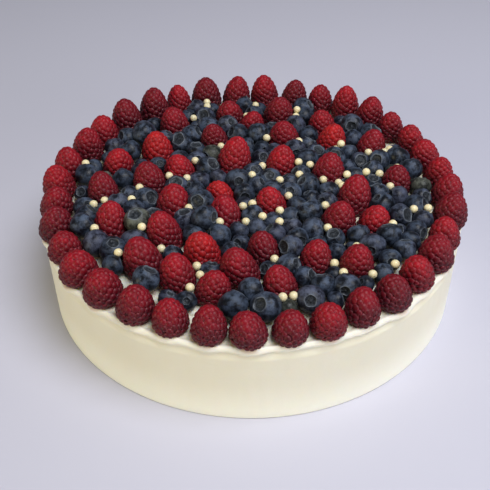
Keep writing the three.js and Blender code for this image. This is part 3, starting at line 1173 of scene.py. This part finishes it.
def makeInnerRaspberries():
    look = innerLook
    draws = Draws(laying["seed"] + 2)
    work = bmesh.new()
    marks = []
    for i, berry in enumerate(innerBerries):
        brightness = draws.between(look["othersDarkest"], look["othersBrightest"])
        if i in look["scarletBerries"]:
            brightness = look["scarlet"]
        elif i in look["redBerries"]:
            brightness = look["red"]
        addRaspberry(work, marks, berry, draws, brightness, look["hiddenBelow"])
    showPiece(
        "raspberriesInside", work, raspberrySkin, ["berry_heap"], ("berry", marks)
    )


makeInnerRaspberries()
print("inner raspberries made")


blueberryShape = {
    "flattening": 0.88,  # length along the stalk over width
    "steps": 22,
    "calyxStart": 9,  # row of the outline
    "lobes": 5,
    "lobeHeight": 0.03,  # this and what follows are over half the width
    "lobeSpread": 0.05,
    "calyxSink": 0.06,
    "openness": (0.7, 1.12),  # the calyx's width, least and most
    "depth": (0.3, 1.2),
    "dent": (0.064, 0.16),  # large unevenness
    "dentsPerHalfWidth": 0.9,
    "wrinkle": (0.03, 0.08),  # small unevenness, of a plump and of a wilted berry
    "wrinklesPerHalfWidth": 3,
    "plumpShare": 0.6,
    "ripeShare": 0.984,  # the others are greyish
    "ripeTone": 0.85,  # the highest of a ripe one
}
# The outline from the stalk's end to the middle of the calyx: share of half width, share of half
# length, how much it belongs to the calyx and to the calyx's rim.
blueberryOutline = (
    (0, -0.93, 0.6, 0),
    (0.09, -0.95, 0.3, 0),
    (0.16, -0.985, 0, 0),
    (0.42, -0.92, 0, 0),
    (0.72, -0.72, 0, 0),
    (0.93, -0.36, 0, 0),
    (1.0, 0.04, 0, 0),
    (0.96, 0.42, 0, 0),
    (0.83, 0.72, 0, 0),
    (0.66, 0.885, 0, 0),
    (0.58, 0.93, 0, 0.15),
    (0.525, 0.985, 0.1, 1),
    (0.49, 0.98, 0.3, 0.9),
    (0.45, 0.925, 0.8, 0.1),
    (0.32, 0.9, 1, 0),
    (0.12, 0.885, 1, 0),
    (0.06, 0.92, 1, 0.2),
    (0, 0.93, 1, 0.3),
)


def blueberryTemplate():
    shape = blueberryShape
    points = [(radius, height * shape["flattening"]) for radius, height, _, _ in blueberryOutline]
    return newMesh("blueberryTemplate", spunProfile(points, shape["steps"], unit=1))


# The row of the outline that each of the template's points lies on
def outlineRows(template):
    radii = np.array([radius for radius, _, _, _ in blueberryOutline])
    heights = np.array([height for _, height, _, _ in blueberryOutline])
    rows = []
    for vertex in template.vertices:
        x, y, z = vertex.co
        away = np.hypot(radii - math.hypot(x, y), heights * blueberryShape["flattening"] - z)
        rows.append(int(np.argmin(away)))
    return rows


def makeBlueberries():
    shape = blueberryShape
    draws = Draws(laying["seed"] + 3)
    template = blueberryTemplate()
    rowOf = outlineRows(template)
    work = bmesh.new()
    marks = []
    for berry in blueberries:
        x, y, z = berry["ball"][:3]
        middle = Vector((x, y, cakeTop + laying["gap"] + z)) * mm
        isRipe = draws.between(0, 1) < shape["ripeShare"]
        tone = draws.between(0, shape["ripeTone"]) if isRipe else 1
        openness = draws.between(*shape["openness"])
        depth = draws.between(*shape["depth"])
        dent = draws.between(*shape["dent"])
        isPlump = draws.between(0, 1) < shape["plumpShare"]
        wrinkle = shape["wrinkle"][0 if isPlump else 1]
        seedPlace = Vector((draws.between(-50, 50), draws.between(-50, 50), 0))
        twist = draws.between(0, 1)
        copy = template.copy()
        for vertex, row in zip(copy.vertices, rowOf):
            x, y, z = vertex.co
            bump = 1 + dent * noise.noise(vertex.co * shape["dentsPerHalfWidth"] + seedPlace)
            bump += wrinkle * noise.noise(vertex.co * shape["wrinklesPerHalfWidth"] + seedPlace)
            calyx, rim = blueberryOutline[row][2:]
            if row > shape["calyxStart"]:  # the crown's rim stands up in lobes
                lobe = math.cos(shape["lobes"] * (math.atan2(y, x) + twist))
                spread = openness * (1 + shape["lobeSpread"] * lobe)
                x, y = x * spread, y * spread
                z += (rim * shape["lobeHeight"] * (lobe + 0.3) - shape["calyxSink"] * calyx) * depth
            vertex.co = (x * bump, y * bump, z * bump)
            marks.append((calyx, rim, tone, 1))
        where = (
            Matrix.Translation(middle)
            @ Matrix.Rotation(berry["turn"], 4, "Z")
            @ Matrix.Rotation(berry["tilt"], 4, "X")
            @ Matrix.Rotation(twist * 2, 4, "Z")
            @ Matrix.Scale(berry["halfWidth"] * mm, 4)
        )
        addMesh(work, copy, where)
    showPiece("blueberries", work, blueberrySkin, ["berry_heap"], ("berry", marks))


makeBlueberries()
print("blueberries made")


pearlShape = {
    "subdivisions": 3,
    "narrowest": 0.96,  # the pearls aren't quite round
    "flattest": 0.95,
}


def makePearls():
    shape = pearlShape
    work = bmesh.new()
    draws = Draws(laying["seed"] + 4)
    for x, y, z, r in pearls:
        turn = draws.between(0, 3)
        narrow = draws.between(shape["narrowest"], 1)
        flat = draws.between(shape["flattest"], 1)
        place = (
            Matrix.Translation(Vector((x, y, cakeTop + laying["gap"] + z)) * mm)
            @ Matrix.Rotation(turn, 4, "X")
            @ Matrix.Diagonal((1, narrow, flat, 1))
        )
        bmesh.ops.create_icosphere(
            work, subdivisions=shape["subdivisions"], radius=r * mm, matrix=place
        )
    showPiece("sugarPearls", work, pearlGlaze, ["berry_heap"])


makePearls()
print("pearls made")


# Floor, light and camera
studio = {
    "floorColour": "#C6C5D1",
    "floorReach": 12,  # metres, either way
    "worldColour": "#E9ECF2",
    "worldStrength": 0.17,
    "cameraDistance": 553.1,
    "elevation": 40.85,  # degrees, as the next three
    "pan": -0.4911,
    "tilt": 1.4437,
    "roll": 0.2961,
    "focalPixels": 780,  # of a picture as wide as the next
    "pictureWidth": 490,
    "sensor": 36,
}
# Each lamp's place and aim in metres, its width, its watts and its colour
lamps = {
    "windowLight": ((0.4, -0.34, 1.3), (0, 0, 0.05), 0.9, 18.3, "#F6F8FF"),
    "leftFill": ((-1.5, -1.04, 0.5), (0, 0, 0.03), 0.9, 12.8, "#FFF4CC"),
    "rightFill": ((1.45, -1.1, 0.5), (0, 0, 0.03), 0.9, 9.8, "#FFFFFF"),
}


# Studio floor under matt paint, put on with a roller: pale, with a dull and slightly uneven shine.
def makeFloor():
    material, tree, place = newMaterial("paintedStudioFloor")
    cloudSize = 333
    cloud = addNode(
        tree, "ShaderNodeTexNoise", {"Vector": place, "Scale": 1 / (cloudSize * mm), "Detail": 2}
    )
    rough = addNode(
        tree, "ShaderNodeMapRange", {"Value": cloud.outputs["Fac"], "To Min": 0.6, "To Max": 0.75}
    )
    finishMaterial(tree, {"Base Color": studio["floorColour"], "Roughness": rough.outputs[0]})
    work = bmesh.new()
    bmesh.ops.create_grid(work, x_segments=1, y_segments=1, size=studio["floorReach"])
    mesh = newMesh("floor", work)
    mesh.materials.append(material)
    floor = newObject("floor", mesh)


def addLight(name, place, aim, size, power, colour):
    light = bpy.data.lights.new(name, "AREA")
    light.shape = "DISK"
    light.size = size
    light.energy = power
    light.color = linear(colour)[:3]
    lamp = newObject(name, light)
    lamp.location = place
    lamp.rotation_euler = (Vector(aim) - Vector(place)).to_track_quat("-Z", "Y").to_euler()


def makeLight():
    for name, lamp in lamps.items():
        addLight(name, *lamp)
    world = bpy.data.worlds.new("softRoom")
    bpy.context.scene.world = world
    world.use_nodes = True
    tree = world.node_tree
    tree.nodes.clear()
    light = {"Color": studio["worldColour"], "Strength": studio["worldStrength"]}
    glow = addNode(tree, "ShaderNodeBackground", light)
    addNode(tree, "ShaderNodeOutputWorld", {"Surface": glow.outputs[0]})


def makeCamera():
    data = bpy.data.cameras.new("camera")
    data.sensor_width = studio["sensor"]
    data.lens = studio["focalPixels"] / studio["pictureWidth"] * studio["sensor"]
    data.clip_start = 0.01
    camera = newObject("camera", data)
    elevation = math.radians(studio["elevation"])
    distance = studio["cameraDistance"] * mm
    place = Vector((0, -math.cos(elevation) * distance, math.sin(elevation) * distance))
    camera.matrix_world = (
        Matrix.Translation(place)
        @ Matrix.Rotation(math.pi / 2 - elevation, 4, "X")
        @ Matrix.Rotation(-math.radians(studio["pan"]), 4, "Y")
        @ Matrix.Rotation(math.radians(studio["tilt"]), 4, "X")
        @ Matrix.Rotation(-math.radians(studio["roll"]), 4, "Z")
    )
    bpy.context.scene.camera = camera


makeFloor()
makeLight()
makeCamera()
bpy.context.scene.view_settings.view_transform = "Standard"
print("studio made")
